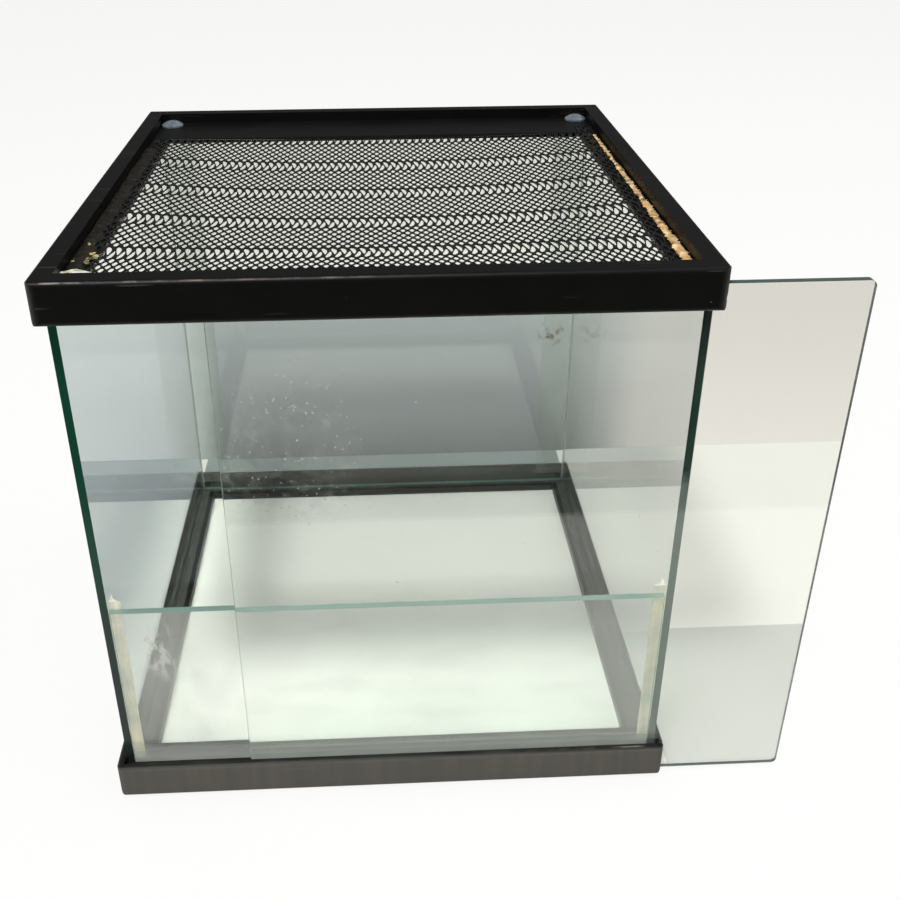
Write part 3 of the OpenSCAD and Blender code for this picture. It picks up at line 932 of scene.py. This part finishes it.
def crust(name, x_range, y_range, height_at, material, slot):
    """Glue that lies on the sheet wherever height_at(x, y), in millimetres, is above 0."""
    step = 0.6
    column_count, row_count = (int((high - low) / step) + 1 for low, high in (x_range, y_range))
    points, heights = [], []
    for row in range(row_count + 1):
        for column in range(column_count + 1):
            x, y = x_range[0] + column * step, y_range[0] + row * step
            height = height_at(x, y)
            heights.append(height)
            points.append((x * MM, y * MM, (sheet_top + max(0.0, height)) * MM))
    faces = [f for f in quad_grid(column_count, row_count) if max(heights[i] for i in f) > 0]
    used = sorted({i for face in faces for i in face})
    renumbered = {old: new for new, old in enumerate(used)}
    faces = [tuple(renumbered[i] for i in face) for face in faces]
    return piece(name, [points[i] for i in used], faces, material, slot)


print("crust helper ready")

# %% [markdown]
# ### Where the glue lies
# The amber run widens towards the front, the dirty one is a band along the left edge, and the heap
# fills the front left corner. Each height starts from a distance to a middle line, made uneven by
# noise, under a rounded top. Flecks are small domes strewn at random. All these numbers are
# millimetres, measured in the picture against the known width of the lid.

# %% Glue: the heights
run_back_y = 95
run_length = 210
run_middle_x = 140.1
dirt_middle_x = -139.6
heap_corner_x = -137
heap_back_y = -124.8


def amber_height(x, y):
    """A flat ragged run along the right edge that widens towards the front."""
    forward = min(1.0, max(0.0, (run_back_y - y) / run_length))
    ragged = 1 + 0.5 * grain_at(1, 0, y, 6) + 0.4 * grain_at(2, 0, y, 2.2)
    half = (0.6 + 1.15 * forward) * ragged
    middle = run_middle_x - 0.3 * forward + 0.5 * grain_at(3, 0, y, 15)
    distance = abs(x - middle) / max(0.3, half) + 0.55 * grain_at(4, x, y, 1.4)
    return 0.65 * dome(max(0.0, distance)) * (0.8 + 0.5 * grain_at(5, x, y, 2.0))


def dirty_height(x, y):
    """A thin dark crust that clogs the openings along the left edge."""
    half = 4.0 * (1 + 0.35 * grain_at(6, 0, y, 8) + 0.2 * grain_at(7, 0, y, 2.5))
    distance = abs(x - dirt_middle_x) / half + 0.35 * grain_at(8, x, y, 1.8)
    return 0.75 * dome(max(0.0, distance)) * (0.8 + 0.5 * grain_at(9, x, y, 2))


def wedge_height(x, y):
    """A bubbly heap in the front left corner, highest against the rim."""
    past_corner = x - heap_corner_x
    top_y = heap_back_y - 0.62 * max(0.0, past_corner) - 0.5 * max(0.0, -past_corner)
    top_y += 0.8 * grain_at(10, x, 0, 3)
    rise = min(1.0, max(0.0, (top_y - y) / 5))
    if y > top_y:
        return -1.0
    return 0.3 + 1.5 * math.sqrt(rise) * (0.8 + 0.5 * grain_at(11, x, y, 2.2))


def scattered(seed, count, x_range, y_range, low_radius, high_radius):
    """A height function of small separate blobs."""
    blobs = []
    for number in range(count):
        shares = noise.random_vector(size=3) * 0.5 + Vector((0.5, 0.5, 0.5))
        ranges = (x_range, y_range, (low_radius, high_radius))
        blobs.append([low + (high - low) * share for (low, high), share in zip(ranges, shares)])

    def height_at(x, y):
        """The height of the highest blob at (x, y), a little longer than wide."""
        wobble = 0.35 * grain_at(seed, x, y, 1.3)
        heights = []
        for blob_x, blob_y, radius in blobs:
            away = math.hypot(x - blob_x, (y - blob_y) * 0.7) / radius
            heights.append(radius * 0.5 * dome(max(0.0, away + wobble)))
        return max(heights)
    return height_at


print("amber run at its middle:", round(amber_height(run_middle_x, 0), 2), "mm high")

# %% Glue: the pieces
right_low, right_high = reach("glue_right")
left_low, left_high = reach("glue_left")
noise.seed_set(7)
fleck_height = scattered(12, 26, (-141.5, -132.5), (-126, -86), 0.5, 1.3)
olive_height = scattered(13, 22, (129, 139), (30, 100), 0.6, 1.5)
amber_run = crust("glue_crust_amber", (136, 142.7), (right_low.y, right_high.y + 18), amber_height,
                  amber, "amber_glue")
dark_run = crust("glue_crust_dirty", (-142.7, -134), (left_low.y, left_high.y + 30), dirty_height,
                 dark, "dark_glue")
wedge = crust("glue_heap_pale", (-142.7, -122), (-140.6, -123), wedge_height, pale, "pale_glue")
flecks = crust("glue_flecks_yellow", (-142.6, -131), (-128, -84), fleck_height, chipped,
               "amber_glue")
olive = crust("glue_flecks_dark", (127, 141), (28, 102), olive_height, dark, "dark_glue")
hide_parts("glue_right")
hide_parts("glue_left")
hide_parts("glue_front_dab")
print("glue pieces:", [o.name for o in (amber_run, dark_run, wedge, flecks, olive)])

# %% [markdown]
# ## Dried smears
# Three marks are left on the glass: an ochre stain in the upper right corner of the back pane, a
# squiggle of dried sealant on the sill pane, and milky wiping marks beside it. Each is a thin patch
# that floats less than a millimetre off its pane, and noise decides where it is opaque. Painting
# them into the glass shader would put them on both faces of the pane and make that shader much
# longer.

# %% Smears
def smear(name, colour, size, low, high, stretch, strength):
    """A patchy dry film that fades out towards the edge of its patch."""
    material, add = start_material(name)
    body = add("BsdfPrincipled", {"Base Color": linear(colour), "Roughness": 0.6, "IOR": 1.45})
    around = add("TexCoord").outputs["Generated"]
    centred = add("VectorMath", [around, (0.5, 0.5, 0.5)], operation="SUBTRACT")
    away = add("VectorMath", [centred], operation="LENGTH")
    inside = add("MapRange", [away, 0.25, 0.5, 1.0, 0.0])
    clouds = mottle(add, size, low, high, stretch, detail=3)
    share = add("Math", [clouds, strength], operation="MULTIPLY")
    share = add("Math", [share, inside], operation="MULTIPLY")
    clear = add("BsdfTransparent", {"Color": linear("#ffffff")})
    add("OutputMaterial", [add("MixShader", [share, clear, body])])
    return material


def smear_patch(name, y, x_range, z_range, material):
    """An upright rectangular patch in the plane y, in millimetres, as a grid of 6 by 6 quads."""
    steps = 6
    points = []
    for row in range(steps + 1):
        for column in range(steps + 1):
            x = x_range[0] + (x_range[1] - x_range[0]) * column / steps
            z = z_range[0] + (z_range[1] - z_range[0]) * row / steps
            points.append((x * MM, y * MM, z * MM))
    return piece(name, points, quad_grid(steps, steps), material, "silicone")


back_inner_y = reach("back_glass")[0].y
sill_inner_y = reach("sill_glass")[1].y
ochre = smear("dried_stain_ochre", "#8d7a56", 5 * MM, 0.5, 0.62, (1, 1, 1), 0.75)
squiggle = smear("dried_sealant_white", "#eef0ea", 5 * MM, 0.46, 0.54, (1, 1, 0.5), 0.6)
wiped = smear("wiped_film_milky", "#e9ece6", 16 * MM, 0.4, 0.8, (1, 1, 0.4), 0.3)
stain = smear_patch("stain_on_back_pane", back_inner_y - 0.7, (118, 140), (128, 152), ochre)
dried = smear_patch("squiggle_on_sill", sill_inner_y + 0.2, (-134, -111), (70, 116), squiggle)
film = smear_patch("wiped_film_on_sill", sill_inner_y + 0.4, (-138, -55), (14, 112), wiped)
print("smears:", [o.name for o in (stain, dried, film)])

# %% [markdown]
# ## Bumper pads
# Two self-adhesive polyurethane domes sit at the back of the recess. They are water-clear when new
# and turn cloudy and bluish with dust, with a soft highlight. Clear all through, like the panes,
# they would be lost against the black recess, so only about half of the body lets light through.
# The dome's shape is the CAD solid's own.

# %% Pads
def cloudy_pad():
    """Dusty clear polyurethane."""
    material, add = start_material("cast_polyurethane_clear")
    blotches = mottle(add, 4 * MM)
    colour = add("Mix", [blotches, linear("#6f7a86"), linear("#8f9aa3")], data_type="RGBA")
    gel = add("BsdfPrincipled", {
        "Base Color": colour, "Roughness": 0.22, "IOR": 1.49, "Transmission Weight": 0.45})
    add("OutputMaterial", [gel])
    return material


pad_material = cloudy_pad()
for pad in ("bumper_left", "bumper_right"):
    dress(pad, pad_material)
print("pads:", pad_material.name)
